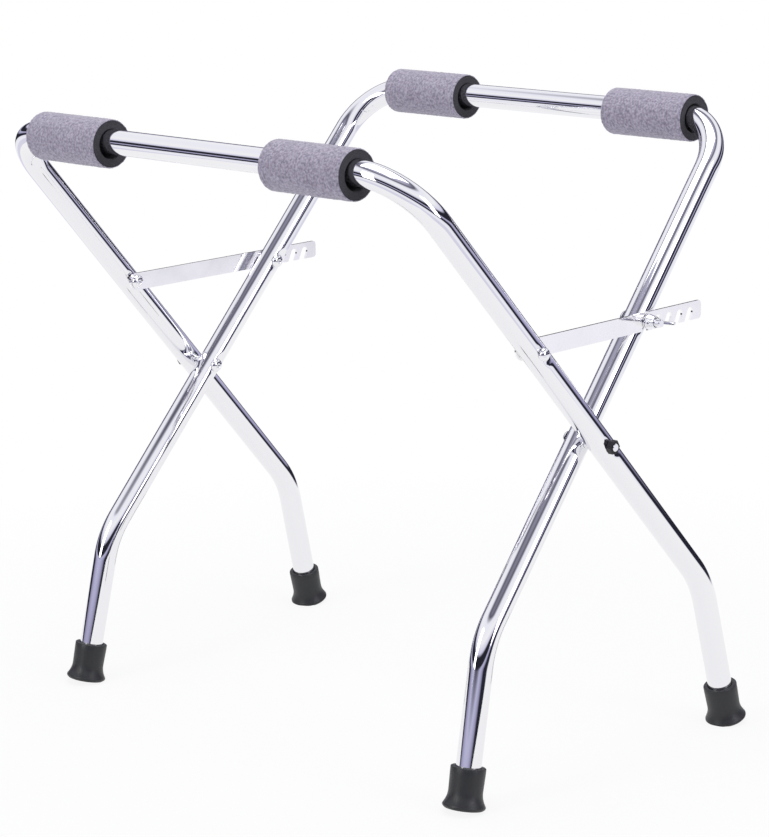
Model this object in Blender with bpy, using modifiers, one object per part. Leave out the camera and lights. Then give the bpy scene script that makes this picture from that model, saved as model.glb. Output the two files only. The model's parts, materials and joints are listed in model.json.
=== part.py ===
"""Concert bass drum stand: two bent tube frames crossing at a pivot, held open by two notched straps.

Metres, +Z up, origin on the floor under the crossing. +X runs along the rails, the outer frame's rail is at -Y.
"""

import math

import bmesh
import bpy
from mathutils import Matrix, Vector

# Tube frames
TUBE_DIAMETER = 0.0254
TUBE_WALL = 0.0018
OUTER_RAIL_HALF = 0.2926
LEG_ANGLE = math.radians(49.0)
LEG_SPLAY = math.radians(2.0)
UPPER_LEG = 0.3874
LOWER_LEG = 0.2279
KINK_ANGLE = math.radians(27.9)
ANKLE_LENGTH = 0.1633
RAIL_BEND_RADIUS = 0.064
KINK_BEND_RADIUS = 0.100
TUBE_SIDES = 16
RAIL_BEND_STEPS = 7
KINK_BEND_STEPS = 3

# Clearances
SEAT_GAP = 0.0003
BOLT_CLEARANCE = 0.0003

# Bolts, seats and spacers on the legs
BOLT_DIAMETER = 0.008
BOLT_ARM = 0.142
SEAT_DEPTH = 0.0007
SEAT_RADIUS = 0.0092
HEAD_RADIUS = 0.0075
HEAD_HEIGHT = 0.0045
SOCKET_RADIUS = 0.0024
SOCKET_DEPTH = 0.0022
SPACER_RADIUS = 0.007
SPACER_LENGTH = 0.001
NUT_RADIUS = 0.0075
NUT_HEIGHT = 0.0055
BOLT_PROUD = 0.0015
CAP_NUT_RADIUS = 0.0065
CAP_NUT_HEIGHT = 0.0055
CAP_NUT_ROOF = 0.0015

# Locking straps
STRAP_WIDTH = 0.019
STRAP_THICKNESS = 0.0023
STRAP_REACH = 0.272
STRAP_END_RADIUS = 0.004
NOTCH_PITCH = 0.017
NOTCH_COUNT = 5
NOTCH_SLANT = math.radians(25.0)
NOTCH_CLEARANCE = 0.0004

# Wing nuts
WASHER_RADIUS = 0.008
WASHER_THICKNESS = 0.001
WING_HUB_RADIUS = 0.0075
WING_HUB_TOP_RADIUS = 0.0062
WING_HUB_HEIGHT = 0.0095
WING_SPAN = 0.046
WING_RISE = 0.0175
WING_THICKNESS = 0.003
WING_TILT = math.radians(-10.0)
STUD_PROUD = 0.007

# Rail sleeves
FOAM_BORE_CLEARANCE = 0.0025
FOAM_WALL = 0.0082
COVER_THICKNESS = 0.0013
SLEEVE_LENGTH = 0.108
OUTER_SLEEVE_END = 0.230
INNER_SLEEVE_END = 0.217

# Rubber tips
TIP_HEIGHT = 0.041
TIP_FLOOR = 0.007
TIP_RIM_RADIUS = 0.0176
TIP_WAIST_RADIUS = 0.0171
TIP_FLARE_RADIUS = 0.0215
TIP_BASE_RADIUS = 0.0195
TIP_FLAT = 0.002

TURNED_STEPS = 24
ROUND_STEPS = 20

TUBE_RADIUS = TUBE_DIAMETER / 2
BOLT_RADIUS = BOLT_DIAMETER / 2
STACK = 2 * (SEAT_GAP + SPACER_LENGTH + SEAT_GAP) + STRAP_THICKNESS
LEG_PITCH = TUBE_DIAMETER + STACK - 2 * SEAT_DEPTH
INNER_RAIL_HALF = OUTER_RAIL_HALF - LEG_PITCH
SEAT_OFFSET = TUBE_RADIUS - SEAT_DEPTH
ANKLE_ANGLE = LEG_ANGLE + KINK_ANGLE
FOAM_BORE = TUBE_RADIUS + FOAM_BORE_CLEARANCE
FOAM_RADIUS = FOAM_BORE + FOAM_WALL
SLEEVE_SAG = FOAM_BORE_CLEARANCE - SEAT_GAP
STRAP_SPAN = 2 * BOLT_ARM * math.cos(LEG_ANGLE) * math.cos(LEG_SPLAY)


def leg_direction(angle, side, lean):
    """Unit vector down a leg: side is the leg's side in X, lean the way it runs in Y."""
    flat = math.cos(LEG_SPLAY)
    return Vector((side * math.sin(LEG_SPLAY), lean * math.cos(angle) * flat, -math.sin(angle) * flat))


TIP_TILT = math.acos(-leg_direction(ANKLE_ANGLE, 1, 1).z)
PIVOT_HEIGHT = (
    LOWER_LEG * -leg_direction(LEG_ANGLE, 1, 1).z
    + ANKLE_LENGTH * -leg_direction(ANKLE_ANGLE, 1, 1).z
    + TIP_BASE_RADIUS * math.sin(TIP_TILT)
    - TIP_FLAT
)


def leg_points(rail_half, side, lean):
    """Corner, pivot, kink and base of a leg. The frame's rail is on the side opposite to its lean."""
    down = leg_direction(LEG_ANGLE, side, lean)
    corner = Vector((side * rail_half, 0, PIVOT_HEIGHT)) - Vector((0, down.y, down.z)) * UPPER_LEG
    pivot = corner + down * UPPER_LEG
    kink = pivot + down * LOWER_LEG
    base = kink + leg_direction(ANKLE_ANGLE, side, lean) * ANKLE_LENGTH
    return corner, pivot, kink, base


def seat_point(rail_half, side, lean, arm):
    """The point on a leg's axis that lies a bolt arm above the pivot."""
    pivot = leg_points(rail_half, side, lean)[1]
    return pivot - leg_direction(LEG_ANGLE, side, lean) * arm


def fillet(before, corner, after, radius, steps):
    """Points of the arc that rounds a corner."""
    to_before = (before - corner).normalized()
    to_after = (after - corner).normalized()
    half = to_before.angle(to_after) / 2
    centre = corner + (to_before + to_after).normalized() * (radius / math.sin(half))
    start = corner + to_before * (radius / math.tan(half)) - centre
    end = corner + to_after * (radius / math.tan(half)) - centre
    turn = start.angle(end)
    points = []
    for step in range(steps + 1):
        share = step / steps
        mixed = start * math.sin((1 - share) * turn) + end * math.sin(share * turn)
        points.append(centre + mixed / math.sin(turn))
    return points


def frame_path(rail_half, lean, past_end):
    """Centre line of a whole frame, from the left leg's end to the right one's, past_end beyond the tube."""
    points = []
    for side in (-1, 1):
        corner, _, kink, base = leg_points(rail_half, side, lean)
        rail = Vector((0, corner.y, corner.z))
        ankle = leg_direction(ANKLE_ANGLE, side, lean)
        tube_end = base - ankle * (TIP_FLOOR + SEAT_GAP - past_end)
        half = fillet(rail, corner, kink, RAIL_BEND_RADIUS, RAIL_BEND_STEPS)
        half += fillet(corner, kink, base, KINK_BEND_RADIUS, KINK_BEND_STEPS)
        half.append(tube_end)
        points += reversed(half) if side < 0 else half
    return points


def clear_scene():
    for obj in list(bpy.data.objects):
        bpy.data.objects.remove(obj, do_unlink=True)


def make_collection(name):
    collection = bpy.data.collections.new(name)
    bpy.context.scene.collection.children.link(collection)
    return collection


def make_material(name, colour, roughness, metallic):
    material = bpy.data.materials.new(name)
    material.use_nodes = True
    shader = material.node_tree.nodes["Principled BSDF"]
    shader.inputs["Base Color"].default_value = (*colour, 1)
    shader.inputs["Roughness"].default_value = roughness
    shader.inputs["Metallic"].default_value = metallic
    return material


clear_scene()
PARTS = make_collection("bass_drum_stand")
CUTTERS = make_collection("cutters")
CHROME = make_material("chrome", (0.80, 0.80, 0.83), 0.08, 1.0)
STEEL = make_material("strap_steel", (0.86, 0.85, 0.86), 0.3, 1.0)
BLACK_STEEL = make_material("black_steel", (0.02, 0.02, 0.022), 0.4, 0.6)
FOAM = make_material("foam", (0.06, 0.06, 0.068), 0.9, 0.0)
FLEECE = make_material("fleece", (0.58, 0.55, 0.63), 0.95, 0.0)
RUBBER = make_material("rubber", (0.012, 0.013, 0.015), 0.5, 0.0)


def add_object(name, data, material, collection=None):
    obj = bpy.data.objects.new(name, data)
    (collection or PARTS).objects.link(obj)
    if material:
        data.materials.append(material)
    return obj


def hide_cutter(obj):
    obj.hide_render = True
    obj.display_type = "WIRE"
    return obj


def bent_tube(name, points, radius, collection, material=None):
    """A round bar along the points, as a welded mesh."""
    curve = bpy.data.curves.new(name + "_line", "CURVE")
    curve.dimensions = "3D"
    curve.bevel_depth = radius
    curve.bevel_resolution = (TUBE_SIDES - 4) // 2
    curve.use_fill_caps = True
    spline = curve.splines.new("POLY")
    spline.points.add(len(points) - 1)
    for place, point in zip(spline.points, points):
        place.co = (*point, 1)
    line = add_object(name + "_line", curve, None, collection)
    graph = bpy.context.evaluated_depsgraph_get()
    mesh = bpy.data.meshes.new_from_object(line.evaluated_get(graph))
    mesh.name = name
    work = bmesh.new()
    work.from_mesh(mesh)
    bmesh.ops.remove_doubles(work, verts=work.verts, dist=1e-6)
    bmesh.ops.recalc_face_normals(work, faces=work.faces)
    work.to_mesh(mesh)
    work.free()
    bpy.data.objects.remove(line, do_unlink=True)
    obj = add_object(name, mesh, material, collection)
    mesh.shade_smooth()
    mesh.set_sharp_from_angle(angle=math.radians(40))
    return obj


def turned(name, profile, axis, place, material, collection=None, closed=False, steps=TURNED_STEPS):
    """A turned solid: the profile is (radius, height) pairs that run down its outer side, height along axis."""
    mesh = bpy.data.meshes.new(name)
    work = bmesh.new()
    verts = [work.verts.new((radius, 0, height)) for radius, height in profile]
    for first, second in zip(verts, verts[1:]):
        work.edges.new((first, second))
    if closed:
        work.edges.new((verts[-1], verts[0]))
    work.to_mesh(mesh)
    work.free()
    obj = add_object(name, mesh, material, collection)
    obj.location = place
    obj.rotation_mode = "QUATERNION"
    obj.rotation_quaternion = Vector((0, 0, 1)).rotation_difference(Vector(axis))
    screw = obj.modifiers.new("turn", "SCREW")
    screw.steps = steps
    screw.render_steps = steps
    screw.use_merge_vertices = True
    screw.merge_threshold = 0.00001
    screw.use_smooth_shade = True
    return obj


def ring(name, inner, outer, length, axis, place, material, steps=TURNED_STEPS):
    """A round spacer, washer or sleeve that starts at place and runs along axis."""
    profile = [(outer, length), (outer, 0), (inner, 0), (inner, length)]
    return turned(name, profile, axis, place, material, closed=True, steps=steps)


def cut(obj, cutter, label):
    boolean = obj.modifiers.new(label, "BOOLEAN")
    boolean.operation = "DIFFERENCE"
    boolean.solver = "EXACT"
    boolean.object = cutter


def bolt_spool(name, place):
    """Cutter for one bolt crossing: a hole through the tube and a flat seat on each face of it."""
    reach = TUBE_DIAMETER
    hole = BOLT_RADIUS + BOLT_CLEARANCE
    profile = [
        (0, reach),
        (SEAT_RADIUS, reach),
        (SEAT_RADIUS, SEAT_OFFSET),
        (hole, SEAT_OFFSET),
        (hole, -SEAT_OFFSET),
        (SEAT_RADIUS, -SEAT_OFFSET),
        (SEAT_RADIUS, -reach),
        (0, -reach),
    ]
    return hide_cutter(turned(name, profile, (1, 0, 0), place, None, CUTTERS))


def make_frame(name, rail_half, lean):
    frame = bent_tube(name, frame_path(rail_half, lean, 0.0), TUBE_RADIUS, PARTS, CHROME)
    bore = bent_tube(name + "_bore", frame_path(rail_half, lean, 0.002), TUBE_RADIUS - TUBE_WALL, CUTTERS)
    cut(frame, hide_cutter(bore), "bore")
    for side, label in ((-1, "left"), (1, "right")):
        for arm, where in ((0.0, "pivot"), (BOLT_ARM, "strap")):
            place = seat_point(rail_half, side, lean, arm)
            cut(frame, bolt_spool(f"{name}_{where}_hole_{label}", place), f"{where}_{label}")
    return frame


def make_tip(name, rail_half, side, lean):
    """Rubber tip: a flared cup on the leg's end, worn flat where it meets the floor."""
    base = leg_points(rail_half, side, lean)[3]
    up = -leg_direction(ANKLE_ANGLE, side, lean)
    bore = TUBE_RADIUS + SEAT_GAP
    profile = [
        (0, TIP_FLOOR),
        (bore, TIP_FLOOR),
        (bore, TIP_HEIGHT),
        (TIP_RIM_RADIUS - 0.0006, TIP_HEIGHT),
        (TIP_RIM_RADIUS, TIP_HEIGHT - 0.0008),
        (TIP_WAIST_RADIUS, TIP_HEIGHT * 0.4),
        ((TIP_WAIST_RADIUS * 2 + TIP_FLARE_RADIUS) / 3, TIP_HEIGHT * 0.26),
        ((TIP_WAIST_RADIUS + TIP_FLARE_RADIUS * 3) / 4, TIP_HEIGHT * 0.14),
        (TIP_FLARE_RADIUS, TIP_HEIGHT * 0.07),
        (TIP_BASE_RADIUS, 0),
        (0, 0),
    ]
    tip = turned(name, profile, up, base, RUBBER)
    mesh = bpy.data.meshes.new(name + "_floor")
    work = bmesh.new()
    bmesh.ops.create_cube(work, size=4 * TIP_HEIGHT)
    bmesh.ops.translate(work, verts=work.verts, vec=(base.x, base.y, -2 * TIP_HEIGHT))
    work.to_mesh(mesh)
    work.free()
    floor = add_object(name + "_floor", mesh, None, CUTTERS)
    cut(tip, hide_cutter(floor), "floor")
    return tip


def make_sleeve(prefix, label, rail_half, side, lean, end):
    """Foam sleeve and its fleece cover. The bore is loose, so the sleeve hangs from the rail's top."""
    corner = leg_points(rail_half, side, lean)[0]
    start = end - SLEEVE_LENGTH if side > 0 else -end
    place = Vector((start, corner.y, corner.z - SLEEVE_SAG))
    ring(f"{prefix}_foam_{label}", FOAM_BORE, FOAM_RADIUS, SLEEVE_LENGTH, (1, 0, 0), place, FOAM)
    inner = FOAM_RADIUS + SEAT_GAP
    ring(f"{prefix}_cover_{label}", inner, inner + COVER_THICKNESS, SLEEVE_LENGTH, (1, 0, 0), place, FLEECE)


def dome_bolt(name, seat, outward, length, material=CHROME):
    """Dome-headed bolt with a socket. The head sits on seat and faces outward, the shank runs the other way."""
    profile = [
        (0, HEAD_HEIGHT - SOCKET_DEPTH),
        (SOCKET_RADIUS, HEAD_HEIGHT - SOCKET_DEPTH),
        (SOCKET_RADIUS, HEAD_HEIGHT),
        (HEAD_RADIUS * 0.55, HEAD_HEIGHT * 0.93),
        (HEAD_RADIUS * 0.8, HEAD_HEIGHT * 0.7),
        (HEAD_RADIUS * 0.95, HEAD_HEIGHT * 0.4),
        (HEAD_RADIUS, SEAT_GAP),
        (BOLT_RADIUS, SEAT_GAP),
        (BOLT_RADIUS, -length + 0.0008),
        (BOLT_RADIUS - 0.0008, -length),
        (0, -length),
    ]
    return turned(name, profile, outward, seat, material, steps=ROUND_STEPS)


def cap_nut(name, place, outward):
    """Round domed nut that starts at place, closed at its outer end."""
    bore = BOLT_RADIUS + BOLT_CLEARANCE
    profile = [
        (0, CAP_NUT_HEIGHT),
        (CAP_NUT_RADIUS * 0.55, CAP_NUT_HEIGHT * 0.94),
        (CAP_NUT_RADIUS * 0.85, CAP_NUT_HEIGHT * 0.74),
        (CAP_NUT_RADIUS, CAP_NUT_HEIGHT * 0.45),
        (CAP_NUT_RADIUS, 0),
        (bore, 0),
        (bore, CAP_NUT_HEIGHT - CAP_NUT_ROOF),
        (0, CAP_NUT_HEIGHT - CAP_NUT_ROOF),
    ]
    return turned(name, profile, outward, place, CHROME, steps=ROUND_STEPS)


def hex_nut(name, place, outward, material, height=NUT_HEIGHT):
    """Six-sided nut that starts at place and runs outward."""
    mesh = bpy.data.meshes.new(name)
    work = bmesh.new()
    bmesh.ops.create_cone(work, cap_ends=True, segments=6, radius1=NUT_RADIUS, radius2=NUT_RADIUS, depth=height)
    bmesh.ops.translate(work, verts=work.verts, vec=(0, 0, height / 2))
    work.to_mesh(mesh)
    work.free()
    nut = add_object(name, mesh, material)
    nut.location = place
    nut.rotation_mode = "QUATERNION"
    nut.rotation_quaternion = Vector((0, 0, 1)).rotation_difference(Vector(outward))
    bore = BOLT_RADIUS + BOLT_CLEARANCE
    profile = [(0, 2 * height), (bore, 2 * height), (bore, -height), (0, -height)]
    hole = turned(name + "_hole", profile, outward, place, None, CUTTERS, steps=ROUND_STEPS)
    cut(nut, hide_cutter(hole), "hole")
    return nut


def notch_points(along):
    """One slanted notch in the strap's lower edge, from its right lip to its left one."""
    radius = BOLT_RADIUS + NOTCH_CLEARANCE
    down = Vector((-math.sin(NOTCH_SLANT), -math.cos(NOTCH_SLANT)))
    right = Vector((math.cos(NOTCH_SLANT), -math.sin(NOTCH_SLANT)))
    centre = Vector((along, 0))
    lip_right = (STRAP_WIDTH / 2 + centre.y + radius * right.y) / -down.y
    lip_left = (STRAP_WIDTH / 2 + centre.y - radius * right.y) / -down.y
    points = [centre + right * radius + down * lip_right]
    for step in range(9):
        turn = math.pi * step / 8
        points.append(centre + right * radius * math.cos(turn) - down * radius * math.sin(turn))
    points.append(centre - right * radius + down * lip_left)
    return points


def strap_outline():
    """Outline in the strap's own plane, pin at the origin, free end at +X, anticlockwise from the pin end."""
    half = STRAP_WIDTH / 2
    points = []
    for step in range(13):
        turn = math.pi / 2 + math.pi * step / 12
        points.append(Vector((half * math.cos(turn), half * math.sin(turn))))
    for notch in range(NOTCH_COUNT):
        points += reversed(notch_points(STRAP_SPAN + notch * NOTCH_PITCH))
    for centre_y, start in ((-half + STRAP_END_RADIUS, -math.pi / 2), (half - STRAP_END_RADIUS, 0)):
        for step in range(5):
            turn = start + math.pi / 2 * step / 4
            x = STRAP_REACH - STRAP_END_RADIUS + STRAP_END_RADIUS * math.cos(turn)
            points.append(Vector((x, centre_y + STRAP_END_RADIUS * math.sin(turn))))
    return points


def make_strap(name, pin, plane):
    """Strap in the plane X = plane (its middle), with its first notch on the lock bolt."""
    curve = bpy.data.curves.new(name, "CURVE")
    curve.dimensions = "2D"
    curve.fill_mode = "BOTH"
    curve.extrude = STRAP_THICKNESS / 2
    hole = BOLT_RADIUS + BOLT_CLEARANCE
    circle = []
    for step in range(ROUND_STEPS):
        turn = 2 * math.pi * step / ROUND_STEPS
        circle.append(Vector((hole * math.cos(turn), hole * math.sin(turn))))
    for outline in (strap_outline(), circle):
        spline = curve.splines.new("POLY")
        spline.points.add(len(outline) - 1)
        for place, point in zip(spline.points, outline):
            place.co = (point.x, point.y, 0, 1)
        spline.use_cyclic_u = True
    strap = add_object(name, curve, STEEL)
    to_plane = Matrix(((0, 0, 1, 0), (1, 0, 0, 0), (0, 1, 0, 0), (0, 0, 0, 1)))
    strap.matrix_world = Matrix.Translation((plane, pin.y, pin.z)) @ to_plane
    return strap


def make_wing_nut(name, place, side):
    """Hub and two raised wings, fused. The base is at place and the nut runs outward in X."""
    bore = BOLT_RADIUS + BOLT_CLEARANCE
    profile = [
        (WING_HUB_TOP_RADIUS, WING_HUB_HEIGHT),
        (WING_HUB_RADIUS, 0),
        (bore, 0),
        (bore, WING_HUB_HEIGHT),
    ]
    nut = turned(name, profile, (side, 0, 0), place, CHROME, closed=True)
    root = (bore + WING_HUB_TOP_RADIUS) / 2
    tip = WING_SPAN / 2
    outline = [
        (root, WING_HUB_HEIGHT * 0.12),
        (tip * 0.42, WING_HUB_HEIGHT * 0.3),
        (tip * 0.72, WING_RISE * 0.42),
        (tip * 0.95, WING_RISE * 0.68),
        (tip, WING_RISE * 0.86),
        (tip * 0.95, WING_RISE * 0.98),
        (tip * 0.84, WING_RISE),
        (tip * 0.66, WING_RISE * 0.88),
        (tip * 0.42, WING_RISE * 0.62),
        (root, WING_HUB_HEIGHT * 0.86),
    ]
    for way in (-1, 1):
        mesh = bpy.data.meshes.new(f"{name}_wing")
        work = bmesh.new()
        flat = [work.verts.new((-WING_THICKNESS / 2, way * radius, height)) for radius, height in outline]
        face = work.faces.new(flat)
        pushed = bmesh.ops.extrude_face_region(work, geom=[face])
        moved = [item for item in pushed["geom"] if isinstance(item, bmesh.types.BMVert)]
        bmesh.ops.translate(work, verts=moved, vec=(WING_THICKNESS, 0, 0))
        bmesh.ops.recalc_face_normals(work, faces=work.faces)
        work.to_mesh(mesh)
        work.free()
        wing = hide_cutter(add_object(f"{name}_wing_{'a' if way < 0 else 'b'}", mesh, None, CUTTERS))
        turn = Vector((0, 0, 1)).rotation_difference(Vector((side, 0, 0))).to_matrix().to_4x4()
        wing.matrix_world = Matrix.Translation(place) @ Matrix.Rotation(WING_TILT, 4, "X") @ turn
        union = nut.modifiers.new("wing", "BOOLEAN")
        union.operation = "UNION"
        union.solver = "EXACT"
        union.object = wing
    return nut


def make_hardware(side, label):
    """Everything that is bolted to one side's pair of legs."""
    out = Vector((side, 0, 0))
    outer_pivot = seat_point(OUTER_RAIL_HALF, side, 1, 0.0)
    inner_pivot = seat_point(INNER_RAIL_HALF, side, -1, 0.0)
    outer_pin = seat_point(OUTER_RAIL_HALF, side, 1, BOLT_ARM)
    inner_stud = seat_point(INNER_RAIL_HALF, side, -1, BOLT_ARM)
    between = STACK - 2 * SEAT_GAP
    bore = BOLT_RADIUS + BOLT_CLEARANCE

    start = inner_pivot + out * (SEAT_OFFSET + SEAT_GAP)
    ring(f"pivot_spacer_{label}", bore, SPACER_RADIUS, between, out, start, CHROME, ROUND_STEPS)
    head = inner_pivot - out * SEAT_OFFSET
    nut = outer_pivot + out * (SEAT_OFFSET + SEAT_GAP)
    length = (nut - head).length + NUT_HEIGHT + BOLT_PROUD
    dome_bolt(f"pivot_bolt_{label}", head, -out, length)
    hex_nut(f"pivot_nut_{label}", nut, out, BLACK_STEEL)

    start = outer_pin - out * (SEAT_OFFSET + SEAT_GAP)
    ring(f"strap_spacer_{label}", bore, SPACER_RADIUS, SPACER_LENGTH, -out, start, CHROME, ROUND_STEPS)
    strap_outer = start - out * (SPACER_LENGTH + SEAT_GAP)
    plane = (strap_outer - out * STRAP_THICKNESS / 2).x
    make_strap(f"strap_{label}", outer_pin, plane)
    head = strap_outer - out * STRAP_THICKNESS
    nut = outer_pin + out * (SEAT_OFFSET + SEAT_GAP)
    length = (nut - head).length + CAP_NUT_HEIGHT - CAP_NUT_ROOF - SEAT_GAP
    dome_bolt(f"strap_screw_{label}", head, -out, length)
    cap_nut(f"strap_cap_nut_{label}", nut, out)

    start = inner_stud + out * (SEAT_OFFSET + SEAT_GAP)
    ring(f"lock_spacer_{label}", bore, SPACER_RADIUS, SPACER_LENGTH, out, start, CHROME, ROUND_STEPS)
    washer = start + out * (SPACER_LENGTH + SEAT_GAP + STRAP_THICKNESS + SEAT_GAP)
    ring(f"lock_washer_{label}", bore, WASHER_RADIUS, WASHER_THICKNESS, out, washer, CHROME, ROUND_STEPS)
    nut = washer + out * (WASHER_THICKNESS + SEAT_GAP)
    make_wing_nut(f"wing_nut_{label}", nut, side)
    head = inner_stud - out * SEAT_OFFSET
    length = (nut - head).length + WING_HUB_HEIGHT + STUD_PROUD
    dome_bolt(f"lock_bolt_{label}", head, -out, length)


make_frame("outer_frame", OUTER_RAIL_HALF, 1)
make_frame("inner_frame", INNER_RAIL_HALF, -1)
for SIDE, LABEL in ((-1, "left"), (1, "right")):
    make_tip(f"outer_tip_{LABEL}", OUTER_RAIL_HALF, SIDE, 1)
    make_tip(f"inner_tip_{LABEL}", INNER_RAIL_HALF, SIDE, -1)
    make_sleeve("outer", LABEL, OUTER_RAIL_HALF, SIDE, 1, OUTER_SLEEVE_END)
    make_sleeve("inner", LABEL, INNER_RAIL_HALF, SIDE, -1, INNER_SLEEVE_END)
    make_hardware(SIDE, LABEL)

print(f"pivot height {PIVOT_HEIGHT:.5f} m, leg pitch {LEG_PITCH:.5f} m, strap span {STRAP_SPAN:.5f} m")
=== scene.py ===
# %% [markdown]
# Concert bass drum stand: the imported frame, dressed to match its photograph.

import json
import math

import bmesh
import bpy
from mathutils import Matrix, Vector, noise


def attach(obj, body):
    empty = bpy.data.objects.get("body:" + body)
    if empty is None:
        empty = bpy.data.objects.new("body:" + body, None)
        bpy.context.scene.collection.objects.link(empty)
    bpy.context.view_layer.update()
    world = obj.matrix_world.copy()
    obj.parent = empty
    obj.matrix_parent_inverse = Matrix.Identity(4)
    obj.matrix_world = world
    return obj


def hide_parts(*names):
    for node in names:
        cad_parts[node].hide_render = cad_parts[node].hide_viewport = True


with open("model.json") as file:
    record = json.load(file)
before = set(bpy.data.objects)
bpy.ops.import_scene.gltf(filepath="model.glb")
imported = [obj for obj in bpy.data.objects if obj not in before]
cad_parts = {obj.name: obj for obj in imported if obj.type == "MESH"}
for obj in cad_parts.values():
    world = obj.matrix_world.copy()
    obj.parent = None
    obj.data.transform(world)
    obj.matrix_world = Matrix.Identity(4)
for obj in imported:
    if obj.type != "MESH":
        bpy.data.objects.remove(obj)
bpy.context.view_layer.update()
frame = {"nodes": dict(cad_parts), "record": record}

# %% [markdown]
# Sizes, in metres, as the frame has them.

# %%
TUBE_RADIUS = 0.0127
OUTER_RAIL_HALF = 0.2926
LEG_ANGLE = math.radians(49.0)
LEG_SPLAY = math.radians(2.0)
UPPER_LEG = 0.3874
LOWER_LEG = 0.2279
ANKLE_ANGLE = math.radians(49.0 + 27.9)
ANKLE_LENGTH = 0.1633
RAIL_BEND_RADIUS = 0.064
KINK_BEND_RADIUS = 0.100
LEG_PITCH = 0.0295
INNER_RAIL_HALF = OUTER_RAIL_HALF - LEG_PITCH
PIVOT_HEIGHT = 0.33332
BOLT_ARM = 0.142
BOLT_RADIUS = 0.004
GAP = 0.0003
SEAT_OFFSET = 0.012
TIP_FLOOR = 0.007
SPACER_RADIUS = 0.007
SPACER_LENGTH = 0.001
PIVOT_SPACER_LENGTH = 0.0049
WASHER_RADIUS = 0.008
WASHER_THICKNESS = 0.001
BOLT_BORE = 0.0043
PIVOT_BOLT_LENGTH = 0.0608
LOCK_BOLT_LENGTH = 0.046
STRAP_SCREW_LENGTH = 0.0319
STRAP_THICKNESS = 0.0023
SLEEVE_LENGTH = 0.108
OUTER_SLEEVE_END = 0.230
INNER_SLEEVE_END = 0.217
SLEEVE_SAG = 0.0022
FOAM_BORE = 0.0152
FOAM_RADIUS = 0.0234
COVER_INNER = 0.0237
COVER_THICKNESS = 0.0013
ROUND_SIDES = 56
TUBE_SIDES = 48
STEP = 0.0025
RAIL_BEND_STEPS = 36
KINK_BEND_STEPS = 20
SHARP_ANGLE = math.radians(35)


def leg_direction(angle, side, lean):
    """Unit vector down a leg: side is the leg's side in X, lean the way it runs in Y."""
    flat = math.cos(LEG_SPLAY)
    return Vector((side * math.sin(LEG_SPLAY), lean * math.cos(angle) * flat, -math.sin(angle) * flat))


def leg_points(rail_half, side, lean):
    """Corner, pivot, kink and base of a leg."""
    down = leg_direction(LEG_ANGLE, side, lean)
    corner = Vector((side * rail_half, 0, PIVOT_HEIGHT)) - Vector((0, down.y, down.z)) * UPPER_LEG
    pivot = corner + down * UPPER_LEG
    kink = pivot + down * LOWER_LEG
    return corner, pivot, kink, kink + leg_direction(ANKLE_ANGLE, side, lean) * ANKLE_LENGTH


def seat_point(rail_half, side, lean, arm):
    """The point on a leg's axis that lies a bolt arm above the pivot."""
    return leg_points(rail_half, side, lean)[1] - leg_direction(LEG_ANGLE, side, lean) * arm


def fillet(before, corner, after, radius, steps):
    """Points of the arc that rounds a corner."""
    to_before = (before - corner).normalized()
    to_after = (after - corner).normalized()
    half = to_before.angle(to_after) / 2
    centre = corner + (to_before + to_after).normalized() * (radius / math.sin(half))
    start = corner + to_before * (radius / math.tan(half)) - centre
    end = corner + to_after * (radius / math.tan(half)) - centre
    turn = start.angle(end)
    points = []
    for step in range(steps + 1):
        share = step / steps
        mixed = start * math.sin((1 - share) * turn) + end * math.sin(share * turn)
        points.append(centre + mixed / math.sin(turn))
    return points


def frame_path(rail_half, lean):
    """The frame's centre line, with a point every STEP or so."""
    points = []
    for side in (-1, 1):
        corner, _, kink, base = leg_points(rail_half, side, lean)
        rail = Vector((0, corner.y, corner.z))
        half = fillet(rail, corner, kink, RAIL_BEND_RADIUS, RAIL_BEND_STEPS)
        half += fillet(corner, kink, base, KINK_BEND_RADIUS, KINK_BEND_STEPS)
        half.append(base - leg_direction(ANKLE_ANGLE, side, lean) * (TIP_FLOOR + GAP))
        points += reversed(half) if side < 0 else half
    dense = []
    for first, second in zip(points, points[1:]):
        count = max(1, round((second - first).length / STEP))
        dense += [first.lerp(second, step / count) for step in range(count)]
    return dense + [points[-1]]


def new_piece(name, work, material, body, nodes=()):
    """Makes an object from a bmesh in world place, rides it on a body and hides the CAD nodes it
    stands in for.
    """
    bmesh.ops.recalc_face_normals(work, faces=work.faces)
    mesh = bpy.data.meshes.new(name)
    work.to_mesh(mesh)
    work.free()
    obj = bpy.data.objects.new(name, mesh)
    bpy.context.scene.collection.objects.link(obj)
    mesh.materials.append(material)
    mesh.shade_smooth()
    mesh.set_sharp_from_angle(angle=SHARP_ANGLE)
    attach(obj, body)
    if nodes:
        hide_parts(*nodes)
    return obj


def add_lathe(work, profile, axis, place, closed=False, sides=ROUND_SIDES):
    """Turns (radius, height) pairs about an axis through place, into the bmesh."""
    turn = Vector((0, 0, 1)).rotation_difference(Vector(axis)).to_matrix()
    rings = []
    for radius, height in profile:
        if radius < 1e-7:
            rings.append([work.verts.new(Vector(place) + turn @ Vector((0, 0, height)))])
            continue
        ring = []
        for side in range(sides):
            angle = 2 * math.pi * side / sides
            spot = Vector((radius * math.cos(angle), radius * math.sin(angle), height))
            ring.append(work.verts.new(Vector(place) + turn @ spot))
        rings.append(ring)
    pairs = list(zip(rings, rings[1:]))
    if closed:
        pairs.append((rings[-1], rings[0]))
    for first, second in pairs:
        for side in range(sides):
            after = (side + 1) % sides
            if len(first) == 1:
                work.faces.new((first[0], second[side], second[after]))
            elif len(second) == 1:
                work.faces.new((first[side], first[after], second[0]))
            else:
                work.faces.new((first[side], first[after], second[after], second[side]))


print("helpers ready")

# %% [markdown]
# Materials, all procedural.

# %%


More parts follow.
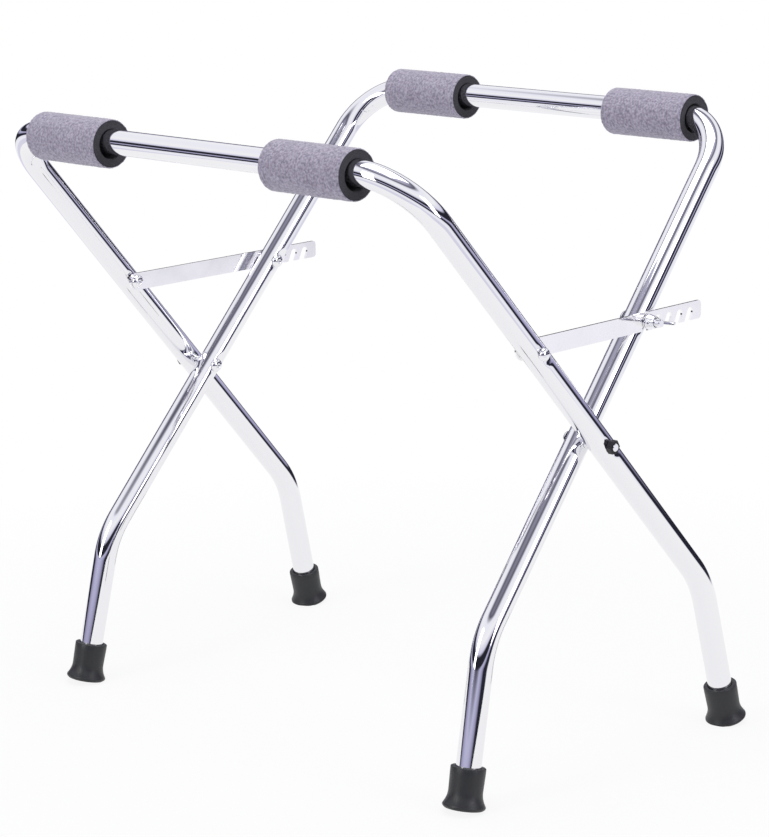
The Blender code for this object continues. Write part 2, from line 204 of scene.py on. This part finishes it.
def make_material(name, colour, roughness, metallic, scale, bump=0.0, mottle=0.0, dark=(0, 0, 0)):
    """Principled material with noise in its roughness, and optionally a bump and a mottled colour."""
    material = bpy.data.materials.new(name)
    material.use_nodes = True
    tree = material.node_tree
    shader = tree.nodes["Principled BSDF"]
    shader.inputs["Base Color"].default_value = (*colour, 1)
    shader.inputs["Metallic"].default_value = metallic
    place = tree.nodes.new("ShaderNodeTexCoord")
    grain = tree.nodes.new("ShaderNodeTexNoise")
    grain.inputs["Scale"].default_value = scale
    grain.inputs["Detail"].default_value = 5
    tree.links.new(place.outputs["Object"], grain.inputs["Vector"])
    spread = tree.nodes.new("ShaderNodeMapRange")
    spread.inputs["From Min"].default_value = 0.3
    spread.inputs["From Max"].default_value = 0.7
    spread.inputs["To Min"].default_value = roughness * 0.8
    spread.inputs["To Max"].default_value = roughness * 1.25
    tree.links.new(grain.outputs["Fac"], spread.inputs["Value"])
    tree.links.new(spread.outputs["Result"], shader.inputs["Roughness"])
    if mottle:
        mix = tree.nodes.new("ShaderNodeMix")
        mix.data_type = "RGBA"
        mix.inputs["A"].default_value = (*dark, 1)
        mix.inputs["B"].default_value = (*colour, 1)
        contrast = tree.nodes.new("ShaderNodeMapRange")
        contrast.inputs["From Min"].default_value = 0.5 - mottle
        contrast.inputs["From Max"].default_value = 0.5 + mottle
        tree.links.new(grain.outputs["Fac"], contrast.inputs["Value"])
        tree.links.new(contrast.outputs["Result"], mix.inputs["Factor"])
        tree.links.new(mix.outputs["Result"], shader.inputs["Base Color"])
    if bump:
        relief = tree.nodes.new("ShaderNodeBump")
        relief.inputs["Strength"].default_value = 1.0
        relief.inputs["Distance"].default_value = bump
        tree.links.new(grain.outputs["Fac"], relief.inputs["Height"])
        tree.links.new(relief.outputs["Normal"], shader.inputs["Normal"])
    return material


CHROME = make_material("chrome", (0.86, 0.86, 0.885), 0.045, 1.0, scale=60)
STEEL = make_material("strap_steel", (0.95, 0.94, 0.95), 0.12, 1.0, scale=40)
BLACK = make_material("black_steel", (0.02, 0.02, 0.024), 0.35, 0.5, scale=400)
RUBBER = make_material("rubber", (0.013, 0.014, 0.016), 0.42, 0.0, scale=700, bump=0.00006)
FOAM = make_material(
    "foam",
    (0.07, 0.07, 0.078),
    0.9,
    0.0,
    scale=900,
    bump=0.0006,
    mottle=0.12,
    dark=(0.03, 0.03, 0.035),
)
FLEECE = make_material(
    "fleece",
    (0.50, 0.46, 0.56),
    0.95,
    0.0,
    scale=420,
    bump=0.0009,
    mottle=0.16,
    dark=(0.22, 0.20, 0.27),
)
fleece_shader = FLEECE.node_tree.nodes["Principled BSDF"]
fleece_shader.inputs["Sheen Weight"].default_value = 0.5
fleece_shader.inputs["Sheen Roughness"].default_value = 0.4
LOOKS = {
    "chrome": CHROME,
    "strap_steel": STEEL,
    "black_steel": BLACK,
    "foam": FOAM,
    "fleece": FLEECE,
    "tip_rubber": RUBBER,
}
for row in frame["record"]["subparts"]:
    mesh = frame["nodes"][row["node"]].data
    mesh.materials.clear()
    mesh.materials.append(LOOKS[row["material_slot"]])
print("materials", len(LOOKS))

# %% [markdown]
# Frames: bent tubes, pressed flat at each bolt.

# %%
SEAT_FLAT = 0.0093
SEAT_FADE = 0.0185
SEAT_RISE = 0.0015


def press_seats(point, place, tangent, seats):
    """Moves a point of the tube's skin in, where a bolt's seat is pressed into the tube."""
    for seat in seats:
        along = abs((place - seat).dot(tangent))
        if (place - seat).length > SEAT_FADE:
            continue
        fade = min(1, max(0, (along - SEAT_FLAT) / (SEAT_FADE - SEAT_FLAT)))
        limit = SEAT_OFFSET + SEAT_RISE * fade * fade * (3 - 2 * fade)
        point.x = seat.x + max(-limit, min(limit, point.x - seat.x))
    return point


def make_frame(name, rail_half, lean, body):
    """Sweeps the tube along the frame's centre line, with its seats pressed in."""
    path = frame_path(rail_half, lean)
    seats = [seat_point(rail_half, side, lean, arm) for side in (-1, 1) for arm in (0, BOLT_ARM)]
    down = leg_direction(LEG_ANGLE, 1, lean)
    flat = Vector((1, 0, 0)).cross(down).normalized()
    work = bmesh.new()
    rings = []
    for index, place in enumerate(path):
        tangent = (path[min(index + 1, len(path) - 1)] - path[max(index - 1, 0)]).normalized()
        across = (flat - tangent * flat.dot(tangent)).normalized()
        third = tangent.cross(across)
        ring = []
        for side in range(TUBE_SIDES):
            angle = 2 * math.pi * side / TUBE_SIDES
            point = place + (across * math.cos(angle) + third * math.sin(angle)) * TUBE_RADIUS
            ring.append(work.verts.new(press_seats(point, place, tangent, seats)))
        rings.append(ring)
    for first, second in zip(rings, rings[1:]):
        for side in range(TUBE_SIDES):
            after = (side + 1) % TUBE_SIDES
            work.faces.new((first[side], first[after], second[after], second[side]))
    work.faces.new(rings[0])
    work.faces.new(rings[-1])
    new_piece(f"{name}_tube", work, CHROME, body, [name])


make_frame("outer_frame", OUTER_RAIL_HALF, 1, "outer")
make_frame("inner_frame", INNER_RAIL_HALF, -1, "inner")
print("frames made")

# %% [markdown]
# Rubber tips: flared cups, worn flat on the floor.

# %%
TIP_PROFILE = [
    (0, TIP_FLOOR),
    (0.013, TIP_FLOOR),
    (0.013, 0.0403),
    (0.0134, 0.041),
    (0.0168, 0.041),
    (0.0174, 0.0406),
    (0.0176, 0.0400),
    (0.01755, 0.034),
    (0.0173, 0.026),
    (0.0171, 0.0175),
    (0.0172, 0.0145),
    (0.0178, 0.0112),
    (0.0190, 0.0078),
    (0.0206, 0.0048),
    (0.0214, 0.0034),
    (0.0215, 0.0026),
    (0.0211, 0.0014),
    (0.0195, 0.0),
    (0, 0),
]
for body, rail_half, lean in (("outer", OUTER_RAIL_HALF, 1), ("inner", INNER_RAIL_HALF, -1)):
    for side, label in ((-1, "left"), (1, "right")):
        work = bmesh.new()
        base = leg_points(rail_half, side, lean)[3]
        add_lathe(work, TIP_PROFILE, -leg_direction(ANKLE_ANGLE, side, lean), base)
        for vert in work.verts:
            vert.co.z = max(0, vert.co.z)
        new_piece(f"{body}_foot_{label}", work, RUBBER, body, [f"{body}_tip_{label}"])
print("feet made")

# %% [markdown]
# Sleeves: foam rings inside nubby fleece covers.

# %%
NUB_HEIGHT = 0.0005
NUB_SCALE = 520
FINE_NUB_SCALE = 1100
FINE_NUB_SHARE = 0.6
NUB_SINK = 0.0003
HEM_LENGTH = 0.0012
HEM_DROP = 0.0006
COVER_SIDES = 160
COVER_RINGS = 110
FOAM_EDGE = 0.0006


def make_cover(place):
    """Fleece tube whose outside is raised in small nubs, with rounded ends."""
    work = bmesh.new()
    outer = COVER_INNER + COVER_THICKNESS
    rings = []
    for step in range(COVER_RINGS + 1):
        along = step / COVER_RINGS * SLEEVE_LENGTH
        hem = max(0, 1 - min(along, SLEEVE_LENGTH - along) / HEM_LENGTH)
        ring = []
        for side in range(COVER_SIDES):
            angle = 2 * math.pi * side / COVER_SIDES
            spot = Vector((along, outer * math.cos(angle), outer * math.sin(angle)))
            nub = noise.noise((spot + place) * NUB_SCALE)
            nub += FINE_NUB_SHARE * noise.noise((spot + place) * FINE_NUB_SCALE)
            radius = outer - NUB_SINK + NUB_HEIGHT * nub - HEM_DROP * hem
            spot = Vector((along, radius * math.cos(angle), radius * math.sin(angle)))
            ring.append(work.verts.new(place + spot))
        rings.append(ring)
    for along in (SLEEVE_LENGTH, 0):
        ring = []
        for side in range(COVER_SIDES):
            angle = 2 * math.pi * side / COVER_SIDES
            spot = Vector((along, COVER_INNER * math.cos(angle), COVER_INNER * math.sin(angle)))
            ring.append(work.verts.new(place + spot))
        rings.append(ring)
    for first, second in zip(rings, rings[1:] + rings[:1]):
        for side in range(COVER_SIDES):
            after = (side + 1) % COVER_SIDES
            work.faces.new((first[side], first[after], second[after], second[side]))
    return work


RAILS = (
    ("outer", OUTER_RAIL_HALF, 1, OUTER_SLEEVE_END),
    ("inner", INNER_RAIL_HALF, -1, INNER_SLEEVE_END),
)
for body, rail_half, lean, end in RAILS:
    for side, label in ((-1, "left"), (1, "right")):
        corner = leg_points(rail_half, side, lean)[0]
        start = end - SLEEVE_LENGTH if side > 0 else -end
        place = Vector((start, corner.y, corner.z - SLEEVE_SAG))
        work = bmesh.new()
        profile = [
            (FOAM_RADIUS, SLEEVE_LENGTH - FOAM_EDGE),
            (FOAM_RADIUS, FOAM_EDGE),
            (FOAM_RADIUS - FOAM_EDGE, 0),
            (FOAM_BORE + FOAM_EDGE, 0),
            (FOAM_BORE, FOAM_EDGE),
            (FOAM_BORE, SLEEVE_LENGTH - FOAM_EDGE),
            (FOAM_BORE + FOAM_EDGE, SLEEVE_LENGTH),
            (FOAM_RADIUS - FOAM_EDGE, SLEEVE_LENGTH),
        ]
        add_lathe(work, profile, (1, 0, 0), place, closed=True)
        name = f"{body}_sleeve_core_{label}"
        core = new_piece(name, work, FOAM, body, [f"{body}_foam_{label}"])
        name = f"{body}_sleeve_{label}"
        cover = new_piece(name, make_cover(place), FLEECE, body, [f"{body}_cover_{label}"])
print("sleeves made")

# %% [markdown]
# Bolts, nuts, spacers and washers.

# %%
BOLT_CHAMFER = 0.0006
RING_EDGE = 0.0002
DOME = [
    (0, 0.0023),
    (0.0024, 0.0023),
    (0.0024, 0.00435),
    (0.0027, 0.0045),
    (0.0041, 0.00425),
    (0.0055, 0.0036),
    (0.0066, 0.0026),
    (0.0072, 0.0016),
    (0.0075, 0.0006),
    (0.0075, GAP),
    (BOLT_RADIUS, GAP),
]
CAP = [
    (0, 0.0055),
    (0.0022, 0.0054),
    (0.0042, 0.0048),
    (0.0056, 0.0038),
    (0.0063, 0.0028),
    (0.0065, 0.0022),
    (0.0065, 0.0003),
    (0.0062, 0.0),
    (BOLT_BORE, 0.0),
    (BOLT_BORE, 0.004),
    (0, 0.004),
]


def make_bolt(name, node, seat, outward, length, body):
    """Dome-headed bolt. The head sits on seat and faces outward, the shank runs the other way."""
    tail = [
        (BOLT_RADIUS, -length + BOLT_CHAMFER),
        (BOLT_RADIUS - BOLT_CHAMFER, -length),
        (0, -length),
    ]
    work = bmesh.new()
    add_lathe(work, DOME + tail, outward, seat)
    new_piece(name, work, CHROME, body, [node])


def make_ring(name, node, outer, length, start, outward, body):
    """Spacer or washer on a bolt, from start outward."""
    profile = [
        (outer, length - RING_EDGE),
        (outer, RING_EDGE),
        (outer - RING_EDGE, 0),
        (BOLT_BORE, 0),
        (BOLT_BORE, length),
        (outer - RING_EDGE, length),
    ]
    work = bmesh.new()
    add_lathe(work, profile, outward, start, closed=True)
    new_piece(name, work, CHROME, body, [node])


for side, label in ((-1, "left"), (1, "right")):
    out = Vector((side, 0, 0))
    pivot_head = seat_point(INNER_RAIL_HALF, side, -1, 0) - out * SEAT_OFFSET
    pin = seat_point(OUTER_RAIL_HALF, side, 1, BOLT_ARM)
    stud = seat_point(INNER_RAIL_HALF, side, -1, BOLT_ARM)

    node = f"pivot_bolt_{label}"
    make_bolt(f"pivot_dome_{label}", node, pivot_head, -out, PIVOT_BOLT_LENGTH, "outer")
    node = f"lock_bolt_{label}"
    head = stud - out * SEAT_OFFSET
    make_bolt(f"lock_dome_{label}", node, head, -out, LOCK_BOLT_LENGTH, "inner")
    node = f"strap_screw_{label}"
    head = pin - out * (SEAT_OFFSET + GAP + SPACER_LENGTH + GAP + STRAP_THICKNESS)
    make_bolt(f"strap_pan_{label}", node, head, -out, STRAP_SCREW_LENGTH, "outer")

    work = bmesh.new()
    add_lathe(work, CAP, out, pin + out * (SEAT_OFFSET + GAP))
    new_piece(f"strap_dome_{label}", work, CHROME, "outer", [f"strap_cap_nut_{label}"])

    node = f"strap_spacer_{label}"
    start = pin - out * (SEAT_OFFSET + GAP)
    make_ring(f"strap_shim_{label}", node, SPACER_RADIUS, SPACER_LENGTH, start, -out, "outer")
    node = f"lock_spacer_{label}"
    start = stud + out * (SEAT_OFFSET + GAP)
    make_ring(f"lock_shim_{label}", node, SPACER_RADIUS, SPACER_LENGTH, start, out, "inner")
    node = f"lock_washer_{label}"
    body = f"washer_{label}"
    start += out * (SPACER_LENGTH + GAP + STRAP_THICKNESS + GAP)
    make_ring(f"lock_plate_{label}", node, WASHER_RADIUS, WASHER_THICKNESS, start, out, body)
    node = f"pivot_spacer_{label}"
    start = pivot_head + out * (2 * SEAT_OFFSET + GAP)
    make_ring(f"pivot_shim_{label}", node, SPACER_RADIUS, PIVOT_SPACER_LENGTH, start, out, "outer")
print("hardware made")

# %% [markdown]
# Wing nuts: a tapered hub and two raised ears, blended like a casting.

# %%
WING_OUTLINE = [
    (0.0052, 0.0012),
    (0.0097, 0.0029),
    (0.0166, 0.0074),
    (0.0209, 0.0106),
    (0.0225, 0.0126),
    (0.0230, 0.0150),
    (0.0219, 0.0171),
    (0.0193, 0.0175),
    (0.0152, 0.0154),
    (0.0097, 0.0109),
    (0.0052, 0.0081),
]
WING_HUB = [
    (0.0059, 0.0095),
    (0.0062, 0.0092),
    (0.0075, 0.0004),
    (0.0072, 0.0),
    (BOLT_BORE, 0.0),
    (BOLT_BORE, 0.0095),
]
WING_HALF = 0.0015
WING_TILT = math.radians(-10.0)
WING_VOXEL = 0.0004
for side, label in ((-1, "left"), (1, "right")):
    out = Vector((side, 0, 0))
    stud = seat_point(INNER_RAIL_HALF, side, -1, BOLT_ARM)
    washer_start = SEAT_OFFSET + GAP + SPACER_LENGTH + GAP + STRAP_THICKNESS + GAP
    place = stud + out * (washer_start + WASHER_THICKNESS + GAP)
    work = bmesh.new()
    add_lathe(work, WING_HUB, out, place, closed=True)
    turn = Matrix.Rotation(WING_TILT, 3, "X")
    turn = turn @ Vector((0, 0, 1)).rotation_difference(out).to_matrix()
    for way in (-1, 1):
        skins = []
        for face_side in (-WING_HALF, WING_HALF):
            skin = []
            for radius, height in WING_OUTLINE:
                spot = Vector((face_side, way * radius, height))
                skin.append(work.verts.new(place + turn @ spot))
            skins.append(skin)
        work.faces.new(skins[0])
        work.faces.new(skins[1])
        for index in range(len(WING_OUTLINE)):
            after = (index + 1) % len(WING_OUTLINE)
            work.faces.new((skins[0][index], skins[0][after], skins[1][after], skins[1][index]))
    body = f"wing_{label}"
    nut = new_piece(f"wing_{label}_cast", work, CHROME, body, [f"wing_nut_{label}"])
    blend = nut.modifiers.new("blend", "REMESH")
    blend.mode = "VOXEL"
    blend.voxel_size = WING_VOXEL
    blend.use_smooth_shade = True
    soften = nut.modifiers.new("soften", "SMOOTH")
    soften.factor = 0.5
    soften.iterations = 4
print("wing nuts made")

# %% [markdown]
# Floor: pale paper under the object. It fades to plain white before its edge.

# %%
FLOOR_HALF = 1.1
FLOOR_GLOW = 0.88
GLOW_START = 0.45
GLOW_END = 1.0
PAPER = bpy.data.materials.new("paper")
PAPER.use_nodes = True
tree = PAPER.node_tree
plain = tree.nodes["Principled BSDF"]
plain.inputs["Base Color"].default_value = (0.9, 0.9, 0.91, 1)
plain.inputs["Roughness"].default_value = 0.9


def background_rays(tree):
    """A value that is 1 for camera, glossy and transmission rays."""
    path = tree.nodes.new("ShaderNodeLightPath")
    total = None
    for name in ("Is Camera Ray", "Is Glossy Ray", "Is Transmission Ray"):
        if total is None:
            total = path.outputs[name]
            continue
        larger = tree.nodes.new("ShaderNodeMath")
        larger.operation = "MAXIMUM"
        tree.links.new(total, larger.inputs[0])
        tree.links.new(path.outputs[name], larger.inputs[1])
        total = larger.outputs[0]
    return total


glow = tree.nodes.new("ShaderNodeEmission")
glow.inputs["Strength"].default_value = 1.0
share = tree.nodes.new("ShaderNodeMath")
share.operation = "MULTIPLY"
tree.links.new(background_rays(tree), share.inputs[0])
spot = tree.nodes.new("ShaderNodeTexCoord")
reach = tree.nodes.new("ShaderNodeVectorMath")
reach.operation = "LENGTH"
tree.links.new(spot.outputs["Object"], reach.inputs[0])
fade = tree.nodes.new("ShaderNodeMapRange")
fade.inputs["From Min"].default_value = GLOW_START
fade.inputs["From Max"].default_value = GLOW_END
fade.inputs["To Min"].default_value = FLOOR_GLOW
fade.inputs["To Max"].default_value = 1.0
tree.links.new(reach.outputs["Value"], fade.inputs["Value"])
tree.links.new(fade.outputs["Result"], share.inputs[1])
floor_mix = tree.nodes.new("ShaderNodeMixShader")
tree.links.new(share.outputs[0], floor_mix.inputs["Fac"])
tree.links.new(plain.outputs["BSDF"], floor_mix.inputs[1])
tree.links.new(glow.outputs["Emission"], floor_mix.inputs[2])
tree.links.new(floor_mix.outputs["Shader"], tree.nodes["Material Output"].inputs["Surface"])
floor_mesh = bpy.data.meshes.new("floor")
work = bmesh.new()
bmesh.ops.create_grid(work, x_segments=1, y_segments=1, size=FLOOR_HALF)
work.to_mesh(floor_mesh)
work.free()
floor_mesh.materials.append(PAPER)
floor = bpy.data.objects.new("floor", floor_mesh)
bpy.context.scene.collection.objects.link(floor)
print("floor made")

# %% [markdown]
# Surroundings: white to the camera, soft light on the object, and banded in its reflections.

# %%
SOFT_COLOUR = (0.86, 0.86, 0.92, 1)
SOFT_STRENGTH = 0.55
world = bpy.data.worlds.new("studio")
bpy.context.scene.world = world
world.use_nodes = True
tree = world.node_tree
tree.nodes.clear()
output = tree.nodes.new("ShaderNodeOutputWorld")
mix = tree.nodes.new("ShaderNodeMixShader")
white = tree.nodes.new("ShaderNodeBackground")
white.inputs["Color"].default_value = (1, 1, 1, 1)
white.inputs["Strength"].default_value = 1.0
soft = tree.nodes.new("ShaderNodeBackground")
soft.inputs["Color"].default_value = SOFT_COLOUR
soft.inputs["Strength"].default_value = SOFT_STRENGTH
path = tree.nodes.new("ShaderNodeLightPath")
place = tree.nodes.new("ShaderNodeTexCoord")
split = tree.nodes.new("ShaderNodeSeparateXYZ")
tree.links.new(place.outputs["Generated"], split.inputs["Vector"])
bands = tree.nodes.new("ShaderNodeValToRGB")
rise = tree.nodes.new("ShaderNodeMapRange")
rise.inputs["From Min"].default_value = -1.0
tree.links.new(split.outputs["Z"], rise.inputs["Value"])
tree.links.new(rise.outputs["Result"], bands.inputs["Fac"])
# Height (0 straight down, 1 straight up) and colour.
BANDS = [
    (0.30, (0.75, 0.74, 0.86)),
    (0.34, (0.95, 0.95, 1.0)),
    (0.42, (0.90, 0.90, 0.97)),
    (0.435, (0.02, 0.02, 0.04)),
    (0.49, (0.02, 0.02, 0.03)),
    (0.505, (0.30, 0.29, 0.44)),
    (0.535, (0.55, 0.54, 0.74)),
    (0.55, (0.02, 0.02, 0.03)),
    (0.63, (0.02, 0.02, 0.03)),
    (0.66, (0.70, 0.69, 0.86)),
    (0.74, (1.0, 1.0, 1.0)),
    (0.86, (0.92, 0.92, 1.0)),
    (0.90, (0.10, 0.10, 0.14)),
    (0.96, (0.55, 0.54, 0.68)),
]
while len(bands.color_ramp.elements) < len(BANDS):
    bands.color_ramp.elements.new(0.5)
for element, (height, colour) in zip(bands.color_ramp.elements, BANDS):
    element.position = height
    element.color = (*colour, 1)
mirrored = tree.nodes.new("ShaderNodeBackground")
tree.links.new(bands.outputs["Color"], mirrored.inputs["Color"])
glossy_mix = tree.nodes.new("ShaderNodeMixShader")
tree.links.new(path.outputs["Is Glossy Ray"], glossy_mix.inputs["Fac"])
tree.links.new(soft.outputs["Background"], glossy_mix.inputs[1])
tree.links.new(mirrored.outputs["Background"], glossy_mix.inputs[2])
tree.links.new(path.outputs["Is Camera Ray"], mix.inputs["Fac"])
tree.links.new(glossy_mix.outputs["Shader"], mix.inputs[1])
tree.links.new(white.outputs["Background"], mix.inputs[2])
tree.links.new(mix.outputs["Shader"], output.inputs["Surface"])
print("bands", len(BANDS))

# %% [markdown]
# Lamps and camera. The camera's numbers were fitted to the photograph.

# %%


def area_light(name, place, target, size, power, colour):
    """Soft rectangular lamp at place, facing target."""
    lamp = bpy.data.lights.new(name, "AREA")
    lamp.shape = "RECTANGLE"
    lamp.size, lamp.size_y = size
    lamp.energy = power
    lamp.color = colour
    obj = bpy.data.objects.new(name, lamp)
    bpy.context.scene.collection.objects.link(obj)
    obj.location = place
    obj.rotation_mode = "QUATERNION"
    obj.rotation_quaternion = (Vector(target) - Vector(place)).to_track_quat("-Z", "Y")


# Name, place, target, size, watts and colour.
LAMPS = [
    ("top", (0, 0, 2.6), (0, 0, 0.3), (1.8, 1.8), 26, (1, 1, 1)),
    ("left", (-0.6, -3.2, 1.5), (0, 0, 0.35), (1.0, 2.2), 30, (1, 1, 1)),
    ("right", (3.2, 0.4, 1.4), (0, 0, 0.35), (1.0, 2.2), 24, (0.93, 0.92, 1.0)),
]
for lamp_row in LAMPS:
    area_light(*lamp_row)

AZIMUTH = math.radians(45.2)
ELEVATION = math.radians(13.4)
ROLL = math.radians(1.1)
DISTANCE = 2.8814
SHIFT_RIGHT = 0.0028
AIM_HEIGHT = 0.3123
SENSOR_HEIGHT = 24
LENS = 77.58
back = Vector(
    (
        math.sin(AZIMUTH) * math.cos(ELEVATION),
        -math.cos(AZIMUTH) * math.cos(ELEVATION),
        math.sin(ELEVATION),
    )
)
right = (-back).cross(Vector((0, 0, 1))).normalized()
down = (-back).cross(right)
image_right = math.cos(ROLL) * right + math.sin(ROLL) * down
image_down = -math.sin(ROLL) * right + math.cos(ROLL) * down
camera_data = bpy.data.cameras.new("camera")
camera_data.sensor_fit = "VERTICAL"
camera_data.sensor_height = SENSOR_HEIGHT
camera_data.lens = LENS
camera = bpy.data.objects.new("camera", camera_data)
bpy.context.scene.collection.objects.link(camera)
turn = Matrix((image_right, -image_down, back)).transposed().to_4x4()
eye = back * DISTANCE + right * SHIFT_RIGHT + Vector((0, 0, AIM_HEIGHT))
camera.matrix_world = Matrix.Translation(eye) @ turn
bpy.context.scene.camera = camera
bpy.context.scene.view_settings.view_transform = "Standard"
print("stage set")
